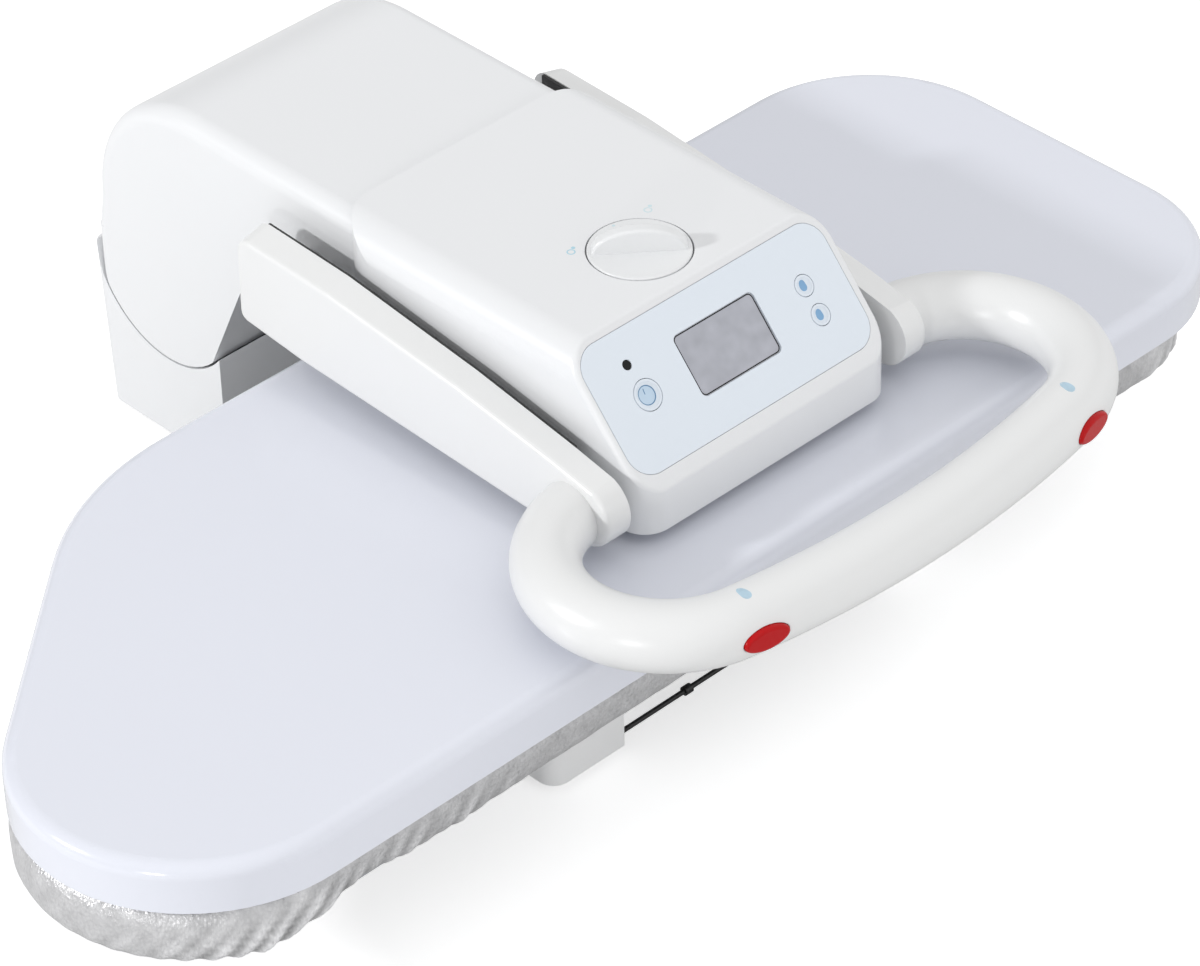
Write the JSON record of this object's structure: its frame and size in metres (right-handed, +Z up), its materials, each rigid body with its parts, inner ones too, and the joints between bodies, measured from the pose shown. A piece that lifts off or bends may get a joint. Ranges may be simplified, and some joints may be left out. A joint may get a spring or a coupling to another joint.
{
  "type": "steam press",
  "caption": "Closed table-top steam ironing press: hinged white head over a silver padded board, with a bowed front handle, slanted display panel and rotary knob.",
  "frame": {"origin": "on the table under the middle of the press's outer box, level with the bottom of the rubber feet", "axes": "+X along the board from its round nose to its square end, +Y from the handle to the back of the housing, +Z up"},
  "size_m": [0.696, 0.5174, 0.2221],
  "materials": {
    "housing_white": "satin gloss",
    "arm_white": "gloss, slightly warm",
    "cover_lacquer": "satin gloss, pale lavender white",
    "knob_white": "satin",
    "panel_film": "satin film, pale blue grey",
    "display_glass": "grey display",
    "black_lens": "gloss",
    "button_red": "gloss",
    "silver_cloth": "metallised woven cloth",
    "foam": "open foam",
    "sheet_steel": "grey paint",
    "bright_steel": "drawn steel",
    "black_steel": "black paint",
    "plate_aluminium": "cast and ground",
    "brass": "turned",
    "rubber": "matt",
    "grey_plastic": "matt",
    "tank_plastic": "translucent white, shown solid",
    "board_green": "solder resist"
  },
  "bodies": {
    "base": {"base_housing": "housing_white", "base_plate": "sheet_steel", "board_cover": "silver_cloth", "board_pad": "foam", "board_pan": "sheet_steel", "cord_inlet": "grey_plastic", "front_foot_left": "housing_white", "front_foot_right": "housing_white", "hinge_frame": "sheet_steel", "hinge_shaft": "bright_steel", "rear_post_left": "sheet_steel", "rear_post_right": "sheet_steel", "rod_collar": "black_steel", "rubber_feet": "rubber", "stretcher_rod": "black_steel", "support_rail_left": "sheet_steel", "support_rail_right": "sheet_steel"},
    "head": {"head_shell": "housing_white", "console_shell": "housing_white", "console_floor": "housing_white", "head_chassis": "sheet_steel", "head_bracket_left": "sheet_steel", "head_bracket_right": "sheet_steel", "hinge_bush_left": "brass", "hinge_bush_right": "brass", "plate_cover": "cover_lacquer", "heating_plate": "plate_aluminium", "heating_element": "bright_steel", "plate_hangers": "bright_steel", "thermostat": "grey_plastic", "water_tank": "tank_plastic", "tank_cap": "housing_white", "water_pump": "grey_plastic", "steam_tube": "tank_plastic", "circuit_board": "board_green", "display_module": "grey_plastic", "display_window": "display_glass", "sensor_lens": "black_lens", "control_panel": "panel_film", "rotary_switch": "grey_plastic", "pivot_pin_left": "bright_steel", "pivot_pin_right": "bright_steel"},
    "handle": {"arm_left": "arm_white", "arm_right": "arm_white", "arm_cover_left": "arm_white", "arm_cover_right": "arm_white", "handle_upper": "arm_white", "handle_lower": "arm_white"},
    "knob": {"knob": "knob_white"},
    "power_button": {"power_button": "panel_film"},
    "key_upper": {"key_upper": "panel_film"},
    "key_lower": {"key_lower": "panel_film"},
    "steam_button_left": {"steam_button_left": "button_red"},
    "steam_button_right": {"steam_button_right": "button_red"}
  },
  "joints": [
    {"name": "head_hinge", "type": "hinge", "parent": "base", "child": "head", "pos_m": [0.043, 0.204, 0.1015], "axis": [-1, 0, 0], "range_deg": [0, 32]},
    {"name": "handle_pivot", "type": "hinge", "parent": "head", "child": "handle", "pos_m": [0.043, 0.082, 0.163], "axis": [-1, 0, 0], "range_deg": [0, 12]},
    {"name": "knob_turn", "type": "hinge", "parent": "head", "child": "knob", "pos_m": [0.0413, -0.0633, 0.21], "axis": [0, 0, 1], "range_deg": [-40, 55]},
    {"name": "power_button_press", "type": "slide", "parent": "head", "child": "power_button", "axis": [0, 0.749, -0.6626], "range_m": [0, 0.0008], "stiffness_N_per_m": 600},
    {"name": "key_upper_press", "type": "slide", "parent": "head", "child": "key_upper", "axis": [0, 0.749, -0.6626], "range_m": [0, 0.0008], "stiffness_N_per_m": 600},
    {"name": "key_lower_press", "type": "slide", "parent": "head", "child": "key_lower", "axis": [0, 0.749, -0.6626], "range_m": [0, 0.0008], "stiffness_N_per_m": 600},
    {"name": "steam_button_left_press", "type": "slide", "parent": "handle", "child": "steam_button_left", "axis": [0.1832, 0.9831, 0], "range_m": [0, 0.0015], "stiffness_N_per_m": 500},
    {"name": "steam_button_right_press", "type": "slide", "parent": "handle", "child": "steam_button_right", "axis": [-0.1832, 0.9831, 0], "range_m": [0, 0.0015], "stiffness_N_per_m": 500}
  ]
}
